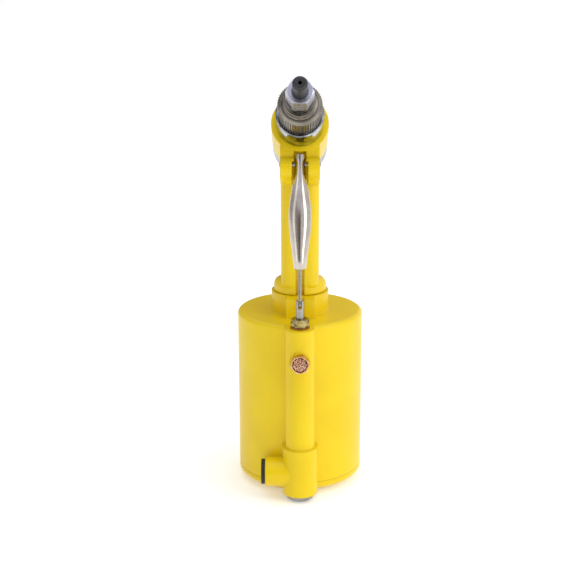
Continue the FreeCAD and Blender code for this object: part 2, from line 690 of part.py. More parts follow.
def oil_screw():
    seat = on_head("oil_screw_s", "head_r - screw_seat")
    end = on_head("oil_screw_s", "head_r - screw_seat - screw_long")
    head = cylinder("screw_head", "oil_screw_head", "2.4", seat, HEAD_UP)
    thread = cylinder("screw_thread", "oil_screw_r", "screw_long", end, HEAD_UP)
    socket = hexagon("screw_socket", "2.5", "2.4", on_head("oil_screw_s", "head_r - screw_seat + 0.8"), HEAD_UP)
    piece("oil_screw", cut("oil_screw_cut", fuse("oil_screw_solid", head, thread), socket))


# ---------------------------------------------------------------- lever and link
def lever_frame():
    """The lever's pin, the unit vector from there to its lower eye, the distance, and the way its face looks."""
    pin = Vector(0, -size("pin_y"), size("pin_z"))
    chord = Vector(0, -size("lever_y"), -size("lever_drop"))
    along = Vector(chord).normalize()
    outward = along.cross(X_AXIS)
    return pin, along, chord.Length, outward


def lever_blank(name, inset, start, end):
    """The lever's front outline, that far inside its edge, carried straight back through its whole depth."""
    pin, along, length, outward = lever_frame()
    widest = 0.53 * length
    top, wide, low = (size(w) - inset for w in ("lever_top_half", "lever_half", "lever_low_half"))

    def edge(side):
        curve = Part.BSplineCurve()
        points = [(top, 0), (wide, widest), (low, length)]
        slopes = [(0.06, 1), (0, 1), (-0.22, 1)]
        at = [pin + along * down + X_AXIS * (side * out) for out, down in points]
        going = [along * down + X_AXIS * (side * out) for out, down in slopes]
        curve.interpolate(Points=at, Tangents=going, TangentFlags=[True] * 3)
        return curve.toShape()

    def corner(out, down):
        return pin + along * down + X_AXIS * out

    top_end = Part.Arc(corner(-top, start), corner(0, start - top), corner(top, start))
    low_end = Part.Arc(corner(low, end), corner(0, end + 0.8 * low), corner(-low, end))
    if start > 0:
        lines = [Part.makeLine(corner(-top, start), corner(top, start))]
    else:
        lines = [top_end.toShape()]
    lines += [
        Part.makeLine(corner(top, start), corner(top, 0)),
        edge(1),
        Part.makeLine(corner(low, length), corner(low, end)),
        low_end.toShape(),
        Part.makeLine(corner(-low, end), corner(-low, length)),
        edge(-1),
        Part.makeLine(corner(-top, 0), corner(-top, start)),
    ]
    face = Part.Face(Part.Wire(Part.__sortEdges__(lines)))
    face.translate(outward * -30)
    made = doc.addObject("Part::Feature", name)
    made.Shape = face.extrude(outward * 60)
    return made


def bow(name, radius_change):
    """A bar across the lever whose side is the lever's bowed line, moved outwards by that much."""
    pin, along, length, outward = lever_frame()
    rise = size("lever_bow")
    radius = (length * length / 4 + rise * rise) / (2 * rise)
    centre = pin + along * (length / 2) - outward * (radius - rise)
    made = doc.addObject("Part::Feature", name)
    made.Shape = Part.makeCylinder(radius + radius_change, 40, centre - X_AXIS * 20, X_AXIS)
    return made


def trigger_lever():
    """A pressed channel, open towards the handle, that bows out and is widest where the fingers pull it."""
    half, skin = size("lever_thick") / 2, size("lever_skin")
    length = lever_frame()[2]
    rise = size("lever_top") - size("lever_top_half")
    blank = lever_blank("lever_outline", 0, -rise, length + 1)
    outside = common("lever_outside", blank, bow("lever_front", half))
    shell = cut("lever_shell", outside, bow("lever_back", -half))
    hollow_blank = lever_blank("lever_room", skin, 6, length + 10)
    hollow = common("lever_hollow", hollow_blank, bow("lever_inside", half - skin))
    room = cut("lever_room_cut", hollow, bow("lever_behind", -half - 1))
    eye_spot = ("-lever_top_half", "-pin_y", "pin_z")
    eye = cylinder("lever_eye", "lever_eye_r", "2 * lever_top_half", eye_spot, RIGHTWARD)
    pressed = cut("lever_pressed", shell, room)
    upper = ("-handle_half", "-pin_y", "pin_z")
    lower = ("-handle_half", "-pin_y - lever_y", "pin_z - lever_drop")
    solid = cut(
        "lever_cut",
        fuse("lever_solid", pressed, eye),
        cylinder("lever_pin_hole", "pin_r + run_gap", "2 * handle_half", upper, RIGHTWARD),
        cylinder("link_pin_hole", "eye_pin", "2 * handle_half", lower, RIGHTWARD),
    )
    piece("trigger_lever", solid)
    start = ("-lever_low_half", "-pin_y - lever_y", "pin_z - lever_drop")
    piece("link_pin", cylinder("link_pin_bar", "eye_pin", "2 * lever_low_half", start, RIGHTWARD))


def link():
    """A wire with a flattened eye at each end. The lower eye is loose on its pin."""
    upper = Vector(0, -size("pin_y") - size("lever_y"), size("pin_z") - size("lever_drop"))
    lower = Vector(0, -size("valve_y"), size("fork_z"))
    along = lower - upper
    eye, flat = size("link_eye"), size("link_flat")
    shape = Part.makeCylinder(size("link_r"), along.Length, upper, along)
    for spot in (upper, lower):
        shape = shape.fuse(Part.makeCylinder(eye, 2 * flat, spot - X_AXIS * flat, X_AXIS))
    for spot, radius in ((upper, size("eye_pin") + size("run_gap")), (lower, size("eye_pin") + size("eye_slack"))):
        shape = shape.cut(Part.makeCylinder(radius, 4 * flat, spot - X_AXIS * 2 * flat, X_AXIS))
    made = doc.addObject("Part::Feature", "link_wire")
    made.Shape = shape.removeSplitter()
    piece("link_rod", made)


# ---------------------------------------------------------------- valve
def valve():
    """The stem with its fork, the poppet below its seat, the gland nut above and the plug and spring below."""
    tip = "fork_z + fork_tip"
    poppet_top = "seat_low - run_gap - face_thick"
    land_top = "seat_high + 0.5 + land_long"
    stem = turned(
        "stem",
        [
            ("0", tip),
            ("0", f"{poppet_top} - poppet_thick"),
            ("waist_r", f"{poppet_top} - poppet_thick"),
            ("waist_r", "seat_high + 0.5"),
            ("seat_bore - run_gap", "seat_high + 0.5"),
            ("seat_bore - run_gap", land_top),
            ("waist_r", f"{land_top} + 1"),
            ("waist_r", "silencer_z + 5"),
            ("stem_r", "silencer_z + 6"),
            ("stem_r", f"{tip} - 0.6"),
            ("stem_r - 0.6", tip),
        ],
        at_valve("0"),
    )
    slot_half = "link_r + 0.2"
    slot_spot = (f"-({slot_half})", "-valve_y - 10", f"{tip} - fork_deep")
    slot = box("fork_slot", f"2 * ({slot_half})", "20", "fork_deep + 1", slot_spot)
    hole = cylinder("fork_hole", "eye_pin", "20", ("-10", "-valve_y", "fork_z"), RIGHTWARD)
    piece("valve_stem", cut("stem_cut", stem, slot, hole))
    pin_spot = ("-stem_r + 0.3", "-valve_y", "fork_z")
    piece("fork_pin", cylinder("fork_pin_bar", "eye_pin", "2 * stem_r - 0.6", pin_spot, RIGHTWARD))

    low = at_valve("cyl_top - nut_long")
    thread = cylinder("nut_thread_bar", "neck_bore - fit_gap", "nut_long + washer_thick", low)
    top = chamfered_hexagon("nut_hexagon", "nut_flats", "nut_high", at_valve("cyl_top + washer_thick"))
    way = cylinder("nut_hole", "stem_r + run_gap", "nut_long + washer_thick + nut_high", low)
    ring_z = "cyl_top - nut_long / 2"
    ring_low = at_valve(f"{ring_z} - seal_r - 0.1")
    groove = cylinder("nut_groove", "stem_r + 2 * seal_r + 0.1", "2 * seal_r + 0.2", ring_low)
    piece("gland_nut", cut("nut_cut", fuse("nut_solid", thread, top), way, groove))
    ring_seal("stem_seal", "stem_r + run_gap + seal_r", "seal_r", at_valve(ring_z))
    disc = cylinder("washer_disc", "washer_r", "washer_thick", at_valve("cyl_top"))
    middle = cylinder("washer_hole", "neck_bore", "washer_thick", at_valve("cyl_top"))
    piece("copper_washer", cut("washer_cut", disc, middle))

    poppet = turned(
        "poppet_disc",
        [
            ("waist_r", "0"),
            ("spring_r - spring_wire - 0.3", "0"),
            ("spring_r - spring_wire - 0.3", "poppet_thick / 2"),
            ("poppet_r", "poppet_thick / 2"),
            ("poppet_r", "poppet_thick"),
            ("waist_r", "poppet_thick"),
        ],
        at_valve(f"{poppet_top} - poppet_thick"),
    )
    piece("poppet", poppet)
    face = cylinder("face_disc", "poppet_r - 0.2", "face_thick", at_valve(poppet_top))
    face_hole = cylinder("face_hole", "waist_r", "face_thick", at_valve(poppet_top))
    piece("poppet_face", cut("face_cut", face, face_hole))

    plug = turned(
        "plug",
        [
            ("0", "plug_cup"),
            ("0", "plug_base - 0.6"),
            ("2.2", "plug_base"),
            ("plug_r - 1", "plug_base"),
            ("plug_r", "plug_base + 1"),
            ("plug_r", "column_base"),
            ("valve_bore - fit_gap", "column_base"),
            ("valve_bore - fit_gap", "column_base + plug_long"),
            ("spring_r + spring_wire + 0.5", "column_base + plug_long"),
            ("spring_r + spring_wire + 0.5", "plug_cup"),
        ],
        at_valve("0"),
    )
    piece("valve_plug", plug)
    spring_top = size("seat_low") - size("run_gap") - size("face_thick") - size("poppet_thick") / 2
    length = spring_top - size("plug_cup")
    coil_spring("valve_spring", size("spring_r"), size("spring_wire"), length, 6, at_valve("plug_cup"))


# ---------------------------------------------------------------- air piston and ram
def air_piston():
    rim = "cyl_r - cyl_wall - run_gap"
    groove = "piston_z + piston_thick / 2 - 1.2 * fat_seal"
    groove_end = "piston_z + piston_thick / 2 + 1.2 * fat_seal"
    piston = turned(
        "piston",
        [
            ("ram_thread", "hub_z"),
            ("hub_r", "hub_z"),
            ("hub_r", "piston_z"),
            (rim, "piston_z"),
            (rim, groove),
            (f"{rim} - 2 * fat_seal - 0.1", groove),
            (f"{rim} - 2 * fat_seal - 0.1", groove_end),
            (rim, groove_end),
            (rim, "piston_z + piston_thick"),
            ("ram_thread", "piston_z + piston_thick"),
        ],
    )
    piece("air_piston", piston)
    ring_spot = ("0", "0", "piston_z + piston_thick / 2")
    ring_seal("air_piston_seal", f"{rim} - fat_seal - 0.05", "fat_seal", ring_spot)
    ram = turned(
        "ram_bar",
        [
            ("0", "hub_z - ram_nut_high - 0.5"),
            ("ram_thread", "hub_z - ram_nut_high - 0.5"),
            ("ram_thread", "piston_z + piston_thick"),
            ("ram_r", "piston_z + piston_thick"),
            ("ram_r", "ram_top - 1.5"),
            ("ram_r - 1.5", "ram_top"),
            ("0", "ram_top"),
        ],
    )
    piece("ram", ram)
    nut_spot = ("0", "0", "hub_z - ram_nut_high")
    bar = hexagon("ram_nut_bar", "ram_nut", "ram_nut_high", nut_spot)
    piece("ram_nut", cut("ram_nut_cut", bar, cylinder("ram_nut_hole", "ram_thread", "ram_nut_high", nut_spot)))
    floor = "(cap_base + cap_floor)"
    pad = cylinder("bumper_pad", "hub_r - 1", f"hub_z - {floor}", ("0", "0", floor))
    middle = cylinder("bumper_middle", "bumper_hole", f"hub_z - {floor}", ("0", "0", floor))
    piece("bumper", cut("bumper_cut", pad, middle))
    low = "cyl_top - gland_thick / 2"
    disc = cylinder("gland_disc", "boss_bore - fit_gap", "gland_thick", ("0", "0", low))
    way = cylinder("gland_hole", "ram_r + run_gap", "gland_thick", ("0", "0", low))
    ring_low = ("0", "0", "cyl_top - seal_r - 0.1")
    groove_cut = cylinder("gland_groove", "ram_r + 2 * seal_r + 0.1", "2 * seal_r + 0.2", ring_low)
    piece("ram_gland", cut("gland_cut", disc, way, groove_cut))
    ring_seal("ram_seal", "ram_r + run_gap + seal_r", "seal_r", ("0", "0", "cyl_top"))


# ---------------------------------------------------------------- head piston, jaws and nose
def head_turned(label, outline):
    """A turned piece on the head's axis, whose heights are places along that axis."""
    return piece(label, turned(label + "_bar", outline, on_head("0"), NOSEWARD))


def head_piston():
    rim = "head_bore - run_gap"
    middle = "(pull_back + pull_front) / 2"
    groove_floor = f"{rim} - 2 * seal_r - 0.1"
    head_turned(
        "head_piston",
        [
            ("tube_r + run_gap", "pull_back"),
            (rim, "pull_back"),
            (rim, f"{middle} - 1.2 * seal_r"),
            (groove_floor, f"{middle} - 1.2 * seal_r"),
            (groove_floor, f"{middle} + 1.2 * seal_r"),
            (rim, f"{middle} + 1.2 * seal_r"),
            (rim, "pull_front"),
            ("rod_r", "pull_front"),
            ("rod_r", "case_aft + case_wall"),
            ("stem_hole", "case_aft + case_wall"),
            ("stem_hole", "case_aft - 4"),
            ("tube_r + run_gap", "case_aft - 5"),
        ],
    )
    ring_seal("head_piston_seal", f"{rim} - seal_r - 0.05", "seal_r", on_head(middle), NOSEWARD)
    ring_seal("rod_seal", "rod_r + run_gap + seal_r", "seal_r - 0.02", on_head("rod_ring"), NOSEWARD)
    head_turned(
        "stem_tube",
        [
            ("stem_hole", "-rear_end"),
            ("tube_r", "-rear_end"),
            ("tube_r", "tube_fore"),
            ("stem_hole", "tube_fore"),
        ],
    )
    head_turned(
        "rear_cap",
        [
            ("tube_r", "-rear_end"),
            ("rear_r - 2", "-rear_end"),
            ("rear_r", "-rear_end + 2"),
            ("rear_r", "-head_aft"),
            ("rear_thread - fit_gap", "-head_aft"),
            ("rear_thread - fit_gap", "-head_aft + rear_spigot"),
            ("head_bore", "-head_aft + rear_spigot"),
            ("head_bore", "-rear_end + rear_wall"),
            ("tube_r", "-rear_end + rear_wall"),
        ],
    )
    length = size("pull_back") + size("rear_end") - size("rear_wall")
    foot = on_head("-rear_end + rear_wall")
    coil_spring("return_spring", size("return_r"), size("return_wire"), length, 5, foot, NOSEWARD)


def jaws():
    slope = "(cone_aft_r - cone_fore_r) / cone_long"
    fore = "case_aft + case_long"
    head_turned(
        "jaw_case",
        [
            ("rod_r", "case_aft"),
            ("case_r", "case_aft"),
            ("case_r", f"{fore} - 3"),
            ("case_r - 1.5", fore),
            ("cone_fore_r", fore),
            ("cone_aft_r", f"{fore} - cone_long"),
            ("cone_aft_r", "case_aft + case_wall"),
            ("rod_r", "case_aft + case_wall"),
        ],
    )
    fore_r = f"cone_fore_r + ({fore} - jaw_fore) * {slope} - jaw_play"
    aft_r = f"{fore_r} + jaw_long * {slope}"
    start = on_head("jaw_fore - jaw_long")
    for number in range(3):
        spin = f"{120 * number} - jaw_angle / 2"
        wedge = cone(f"jaw_wedge_{number}", aft_r, fore_r, "jaw_long", start, NOSEWARD, spin, "jaw_angle")
        hole = cylinder(f"jaw_hole_{number}", "jaw_gap", "jaw_long", start, NOSEWARD)
        piece(f"jaw_{number + 1}", cut(f"jaw_cut_{number}", wedge, hole))
    back = "jaw_fore - jaw_long - run_gap"
    head_turned(
        "jaw_pusher",
        [
            ("stem_hole", f"{back} - pusher_long"),
            ("pusher_rim", f"{back} - pusher_long"),
            ("pusher_rim", f"{back} - pusher_long + 1"),
            ("pusher_r", f"{back} - pusher_long + 1"),
            ("pusher_r", back),
            ("stem_hole", back),
        ],
    )
    spring_end = size("jaw_fore") - size("jaw_long") - size("run_gap") - size("pusher_long")
    length = spring_end - size("case_aft") - size("case_wall")
    foot = on_head("case_aft + case_wall")
    coil_spring("jaw_spring", size("jaw_spring_r"), size("spring_wire"), length, 3, foot, NOSEWARD)


def nose():
    head_turned(
        "front_sleeve",
        [
            ("sleeve_bore", "web_fore"),
            ("nose_thread - fit_gap", "web_fore"),
            ("nose_thread - fit_gap", "head_fore"),
            ("sleeve_r", "head_fore"),
            ("sleeve_r", "sleeve_end - 0.8"),
            ("sleeve_r - 0.8", "sleeve_end"),
            ("sleeve_spigot", "sleeve_end"),
            ("sleeve_spigot", "sleeve_end + spigot_reach"),
            ("sleeve_bore", "sleeve_end + spigot_reach"),
        ],
    )
    head_turned(
        "knurled_collar",
        [
            ("sleeve_spigot + fit_gap", "sleeve_end"),
            ("collar_r - 0.8", "sleeve_end"),
            ("collar_r", "sleeve_end + 0.8"),
            ("collar_r", "collar_end"),
            ("collar_r - 1.2", "collar_end + 1.6"),
            ("shoulder_r", "shoulder_end - 1"),
            ("shoulder_r - 1", "shoulder_end"),
            ("neck_r", "shoulder_end"),
            ("neck_r", "nose_nut_aft"),
            ("nut_thread", "nose_nut_aft"),
            ("nut_thread", "thread_end"),
            ("tip_thread + fit_gap", "thread_end"),
            ("tip_thread + fit_gap", "collar_floor"),
            ("sleeve_bore", "collar_floor"),
            ("sleeve_bore", "sleeve_end + spigot_reach + 0.2"),
            ("sleeve_spigot + fit_gap", "sleeve_end + spigot_reach + 0.2"),
        ],
    )
    start, lip = on_head("nose_nut_aft"), on_head("lip_end")
    bar = chamfered_hexagon("nose_hexagon", "nose_flats", "nose_nut_fore - nose_nut_aft", start, NOSEWARD)
    inner = cylinder("nose_nut_bore", "nut_thread + fit_gap", "lip_end - nose_nut_aft", start, NOSEWARD)
    mouth = cylinder("nose_nut_mouth", "tip_aft_r + fit_gap", "nose_nut_fore - lip_end", lip, NOSEWARD)
    piece("nose_nut", cut("nose_nut_cut", bar, inner, mouth))
    head_turned(
        "nosepiece",
        [
            ("stem_hole", "jaw_fore + run_gap"),
            ("tip_thread", "jaw_fore + run_gap"),
            ("tip_thread", "thread_end"),
            ("nut_thread", "thread_end"),
            ("nut_thread", "lip_end"),
            ("tip_aft_r", "lip_end"),
            ("tip_aft_r", "nose_nut_fore"),
            ("tip_fore_r", "tip_end - tip_chamfer"),
            ("tip_fore_r - tip_chamfer", "tip_end"),
            ("rivet_hole", "tip_end"),
            ("rivet_hole", "nose_nut_fore"),
            ("stem_hole", "nose_nut_fore - 2"),
        ],
    )


# ---------------------------------------------------------------- build, check and write
air_cylinder()
cap_and_foot()
inlet_and_silencer()
handle_casting()
lever_pin()
oil_screw()
trigger_lever()
link()
valve()
air_piston()
head_piston()
jaws()
nose()
doc.recompute()

for thing in doc.Objects:
    if "Invalid" in thing.State or "Error" in thing.State:
        raise RuntimeError(f"{thing.Name} failed: {thing.State}")
os.makedirs("parts", exist_ok=True)
for thing in PARTS:
    shape = thing.Shape
    if shape.isNull() or not shape.isValid() or len(shape.Solids) != 1:
        raise RuntimeError(f"{thing.Label} is not one valid solid")
    shape.exportStep(f"parts/{thing.Label}.step")
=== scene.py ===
# %% [markdown]
# # A hydro-pneumatic blind rivet gun
# The tool stands on its wide air cylinder. A straight handle full of oil rises from that and carries a tilted head
# with a knurled nose, and a long lever in front of the handle pushes a valve stem down. All the pieces with a
# working shape come from the CAD frame. This file gives them their finishes, softens the castings' edges in the
# paint and remakes the pieces whose real surface has more in it than the CAD shape: the knurling, the pressed lever,
# the threaded link and the sintered grains. The two coil springs are copies of their CAD coils.

# %% Load the frame
import math
import random

import bmesh
import bpy
from mathutils import Matrix, Vector


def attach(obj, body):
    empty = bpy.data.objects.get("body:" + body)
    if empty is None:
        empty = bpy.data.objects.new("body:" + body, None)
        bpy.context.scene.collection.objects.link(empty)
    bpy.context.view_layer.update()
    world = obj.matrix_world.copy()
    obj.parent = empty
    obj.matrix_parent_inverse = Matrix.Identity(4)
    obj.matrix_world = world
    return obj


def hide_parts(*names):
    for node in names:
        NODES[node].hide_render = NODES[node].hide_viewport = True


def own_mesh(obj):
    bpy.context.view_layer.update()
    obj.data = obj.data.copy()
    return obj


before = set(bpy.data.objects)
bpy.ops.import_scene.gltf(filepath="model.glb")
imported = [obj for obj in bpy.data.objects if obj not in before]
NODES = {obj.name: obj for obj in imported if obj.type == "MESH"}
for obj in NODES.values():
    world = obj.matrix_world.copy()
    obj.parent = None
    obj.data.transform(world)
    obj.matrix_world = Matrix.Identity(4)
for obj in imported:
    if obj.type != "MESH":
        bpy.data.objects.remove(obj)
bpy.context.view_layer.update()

# %% [markdown]
# ## Sizes and places
# The frame is in metres and the tool's own sizes are easier to read in millimetres, so one constant turns one into
# the other. The head has an axis of its own that leans back from level, and everything on the nose is placed by how
# far along that axis it lies, forward from where it crosses the air cylinder's axis. The lever hangs from a pin in
# front of the handle, and the link hangs from the lever's lower end down to the valve stem. The silencer sits on the
# front of the valve column.

# %% Millimetres, the head's axis and the lever's pins
MM = 0.001
HEAD_TILT = math.radians(25)
HEAD_CROSSING = Vector((0, 0, 265.7 * MM))
NOSEWARD = Vector((0, -math.cos(HEAD_TILT), math.sin(HEAD_TILT)))
HEAD_TURN = Matrix.Rotation(math.pi / 2 - HEAD_TILT, 4, "X")
HEAD_PLACE = Matrix.Translation(HEAD_CROSSING) @ HEAD_TURN
LEVER_PIN = Vector((0, -33.5, 248.3)) * MM
LEVER_EYE = Vector((0, -59, 182.3)) * MM
FORK_PIN = Vector((0, -50, 150.5)) * MM
SILENCER_HEIGHT = 110


def on_head(along_mm):
    """The place that many millimetres forward along the head's axis."""
    return HEAD_CROSSING + NOSEWARD * (along_mm * MM)


print("head's axis:", NOSEWARD, "lever's length:", (LEVER_EYE - LEVER_PIN).length)

# %% [markdown]
# ## Colours and nodes
# Paint and metal colours are easiest to judge as the hex values of a screen, which are stored on the sRGB curve.
# The shader wants linear light, so one function turns each value. A second small function adds any node with its
# settings and its links, which keeps each material down to the few lines that describe the real surface.


# %% Colour and node helpers
def linear(hex_colour):
    """A screen colour such as #F2DA2A as linear red, green, blue and alpha."""
    parts = [int(hex_colour[i:i + 2], 16) / 255 for i in (1, 3, 5)]
    return [c / 12.92 if c <= 0.04045 else ((c + 0.055) / 1.055) ** 2.4 for c in parts] + [1.0]


def add_node(tree, kind, settings, links):
    """Adds a node, with settings for its inputs, its properties and its ramp's stops, and links for its inputs."""
    node = tree.nodes.new(kind)
    for name, value in settings.items():
        if name == "stops":
            for position, colour in value[1:-1]:
                node.color_ramp.elements.new(position)
            for element, (position, colour) in zip(node.color_ramp.elements, value):
                element.position = position
                element.color = linear(colour)
        elif name in node.inputs:
            node.inputs[name].default_value = value
        else:
            setattr(node, name, value)
    for name, socket in links.items():
        tree.links.new(socket, node.inputs[name])
    return node


def new_material(name, settings):
    """A material, its node tree and its Principled shader with plain numbers on the shader's own sockets."""
    material = bpy.data.materials.new(name)
    material.use_nodes = True
    shader = material.node_tree.nodes["Principled BSDF"]
    for socket, value in settings.items():
        shader.inputs[socket].default_value = value
    return material, material.node_tree, shader


# %% [markdown]
# ## Yellow enamel
# The castings are aluminium, shot-blasted and sprayed with a glossy two-pack enamel. The film is thick enough to
# round the small edges, and it dries with a faint orange peel: a waviness some two or three millimetres across and a
# few microns high. A clear coat over a slightly rougher base gives the double highlight of such paint. The bevel
# node softens the casting's edges and the corners where its bosses meet, as a cast fillet does.


# %% Yellow enamel on castings
def yellow_enamel(name, deep, bright):
    """A glossy enamel that wanders between two close yellows."""
    material, tree, shader = new_material(
        name, {"Roughness": 0.45, "Specular IOR Level": 0.2, "Coat Weight": 0.28, "Coat Roughness": 0.08}
    )
    place = add_node(tree, "ShaderNodeTexCoord", {}, {}).outputs["Object"]
    blotch = add_node(tree, "ShaderNodeTexNoise", {"Scale": 28.0, "Detail": 4.0}, {"Vector": place})
    colour = add_node(
        tree, "ShaderNodeValToRGB", {"stops": [(0.35, deep), (0.62, bright)]}, {"Fac": blotch.outputs["Fac"]}
    )
    peel = add_node(tree, "ShaderNodeTexNoise", {"Scale": 380.0, "Detail": 2.0}, {"Vector": place})
    edge = add_node(tree, "ShaderNodeBevel", {"Radius": 1.6 * MM, "samples": 8}, {})
    bump = add_node(
        tree, "ShaderNodeBump", {"Strength": 0.12, "Distance": 0.02 * MM},
        {"Height": peel.outputs["Fac"], "Normal": edge.outputs["Normal"]},
    )
    tree.links.new(colour.outputs["Color"], shader.inputs["Base Color"])
    tree.links.new(bump.outputs["Normal"], shader.inputs["Normal"])
    tree.links.new(bump.outputs["Normal"], shader.inputs["Coat Normal"])
    return material


ENAMEL = yellow_enamel("gloss_yellow_enamel", "#E4C400", "#EACB02")
print("made", ENAMEL.name)

# %% [markdown]
# ## Bare metals
# Most of the other pieces are steel, and what tells them apart is how they were finished: turned and left, plated
# bright, blued black or passivated. They share one recipe. A noise drawn out round the turning axis stands for the
# tool's marks and moves both the roughness and the relief, a larger noise mottles the colour as handling and oil do,
# and the bevel node keeps the edges from looking razor sharp. Chrome, passivated nuts and bronze are the blotchiest.
# On the chrome the dark and light blotches are painted reflections, and on the passivated nut the near black and
# light gold are painted dark reflections and gold highlights over the plating's own uneven tone.


# %% One recipe for turned and plated metal
def metal(name, dark, light, rough, rough_spread, mark_scale, mark_strength, drawn=(1, 1, 1), mottling=90.0):
    """A metal between two colours, with marks drawn out along the axes where drawn is below one."""
    material, tree, shader = new_material(name, {"Metallic": 1.0, "Roughness": rough})
    place = add_node(tree, "ShaderNodeTexCoord", {}, {}).outputs["Object"]
    mapped = add_node(
        tree, "ShaderNodeMapping", {"Rotation": (HEAD_TILT - math.pi / 2, 0, 0), "Scale": drawn}, {"Vector": place}
    )
    mottle = add_node(tree, "ShaderNodeTexNoise", {"Scale": mottling, "Detail": 5.0}, {"Vector": place})
    colour = add_node(
        tree, "ShaderNodeValToRGB", {"stops": [(0.3, dark), (0.7, light)]}, {"Fac": mottle.outputs["Fac"]}
    )
    marks = add_node(
        tree, "ShaderNodeTexNoise", {"Scale": mark_scale, "Detail": 3.0}, {"Vector": mapped.outputs["Vector"]}
    )
    spread = add_node(
        tree, "ShaderNodeMapRange",
        {"From Min": 0.3, "From Max": 0.7, "To Min": rough - rough_spread, "To Max": rough + rough_spread},
        {"Value": marks.outputs["Fac"]},
    )
    edge = add_node(tree, "ShaderNodeBevel", {"Radius": 0.25 * MM, "samples": 6}, {})
    bump = add_node(
        tree, "ShaderNodeBump", {"Strength": mark_strength, "Distance": 0.02 * MM},
        {"Height": marks.outputs["Fac"], "Normal": edge.outputs["Normal"]},
    )
    tree.links.new(colour.outputs["Color"], shader.inputs["Base Color"])
    tree.links.new(spread.outputs["Result"], shader.inputs["Roughness"])
    tree.links.new(bump.outputs["Normal"], shader.inputs["Normal"])
    return material


TURNED_MARKS = (0.15, 0.15, 3)
# The chrome's dark and light blotches are painted reflections of the dark and bright room.
CHROME_PAINTED_REFLECTIONS = metal("hard_chrome_with_painted_reflections", "#2E3236", "#CDD2D8", 0.12, 0.03, 300.0, 0.05, mottling=140.0)
NICKEL = metal("satin_nickel_plate", "#5E5850", "#9B958B", 0.24, 0.05, 500.0, 0.14, TURNED_MARKS)
POLISHED = metal("polished_pressed_steel", "#B3AAA1", "#D0C9C0", 0.15, 0.03, 500.0, 0.06)
TURNED = metal("turned_steel", "#8A8883", "#ADAAA4", 0.26, 0.05, 900.0, 0.2, TURNED_MARKS)
ZINC = metal("blue_zinc_plate", "#A9AAB8", "#C9CAD6", 0.28, 0.04, 700.0, 0.12)
BLACK = metal("black_oxide_steel", "#3C3C3D", "#4C4C4D", 0.45, 0.06, 700.0, 0.15, TURNED_MARKS)
ALLOY = metal("machined_alloy", "#96989C", "#BDBFC3", 0.33, 0.07, 900.0, 0.3, TURNED_MARKS)
# The passivated nut runs from near black to light gold: painted dark reflections and gold highlights over the
# plating's own uneven tone.
PASSIVATED_PAINTED_HIGHLIGHTS = metal("yellow_passivated_painted_highlights", "#2A2210", "#D2BC78", 0.14, 0.05, 500.0, 0.12, mottling=260.0)
COPPER = metal("copper_washer_metal", "#8A5A2A", "#C08A50", 0.35, 0.08, 500.0, 0.2)
BRONZE = metal("turned_bronze", "#B07A48", "#F2C796", 0.28, 0.07, 600.0, 0.2, mottling=300.0)
GRAIN = metal("sintered_bronze", "#B8734F", "#FFE0C8", 0.22, 0.05, 600.0, 0.2, mottling=700.0)
# Painted shade for the pores between the sintered grains.
SHADE_BETWEEN_GRAINS = metal("shade_painted_between_grains", "#2E160C", "#5A301C", 0.6, 0.1, 600.0, 0.2)
SPRING = metal("oiled_spring_wire", "#3C3D40", "#606266", 0.32, 0.06, 600.0, 0.15)
# Painted shade for the sunk gaps of the knurling: a darker metal that stands for the shade between the ridges.
KNURL_GAP_SHADE = metal("shade_painted_in_knurl_gaps", "#3B342C", "#6A6055", 0.5, 0.08, 600.0, 0.2)
print("metals made:", len(bpy.data.materials) - 1)

# %% [markdown]
# ## Rubber
# The foot, the hose ring and the seals are moulded nitrile rubber. It is nearly black and dull, with a fine grain
# from the spark-eroded mould.


# %% Moulded rubber
def moulded_rubber():
    """Nearly black rubber with a fine moulded grain."""
    material, tree, shader = new_material("moulded_black_rubber", {"Roughness": 0.62, "IOR": 1.52})
    place = add_node(tree, "ShaderNodeTexCoord", {}, {}).outputs["Object"]
    grain = add_node(tree, "ShaderNodeTexNoise", {"Scale": 900.0, "Detail": 3.0}, {"Vector": place})
    colour = add_node(
        tree, "ShaderNodeValToRGB", {"stops": [(0.3, "#161616"), (0.7, "#232324")]}, {"Fac": grain.outputs["Fac"]}
    )
    bump = add_node(
        tree, "ShaderNodeBump", {"Strength": 0.3, "Distance": 0.03 * MM}, {"Height": grain.outputs["Fac"]}
    )
    tree.links.new(colour.outputs["Color"], shader.inputs["Base Color"])
    tree.links.new(bump.outputs["Normal"], shader.inputs["Normal"])
    return material


RUBBER = moulded_rubber()
print("made", RUBBER.name)

# %% [markdown]
# ## Finishes of the CAD pieces
# Each CAD piece keeps its shape and takes the finish that its real one has.

# %% Which finish each CAD piece has
FINISHES = {
    ENAMEL: ["air_cylinder", "bottom_cap", "handle_casting"],
    CHROME_PAINTED_REFLECTIONS: ["front_sleeve"],
    NICKEL: ["knurled_collar"],
    POLISHED: ["trigger_lever"],
    TURNED: [
        "lever_pin", "link_pin", "fork_pin", "link_rod", "valve_stem", "valve_plug", "ram", "ram_nut",
        "head_piston", "stem_tube", "jaw_case", "jaw_pusher",
    ],
    ZINC: ["nose_nut"],
    BLACK: ["nosepiece", "jaw_1", "jaw_2", "jaw_3", "oil_screw"],
    ALLOY: ["rear_cap", "air_piston", "poppet", "ram_gland"],
    PASSIVATED_PAINTED_HIGHLIGHTS: ["gland_nut"],
    COPPER: ["copper_washer"],
    BRONZE: ["silencer_body", "silencer_filter"],
    SPRING: ["return_spring", "jaw_spring", "valve_spring"],
    RUBBER: [
        "rubber_foot", "bumper", "inlet_ring", "cap_seal", "air_piston_seal", "head_piston_seal", "rod_seal",
        "ram_seal", "stem_seal", "poppet_face",
    ],
}
for finish, names in FINISHES.items():
    for name in names:
        for slot in NODES[name].material_slots:
            slot.material = finish
print("finished:", sum(len(names) for names in FINISHES.values()), "of", len(NODES))

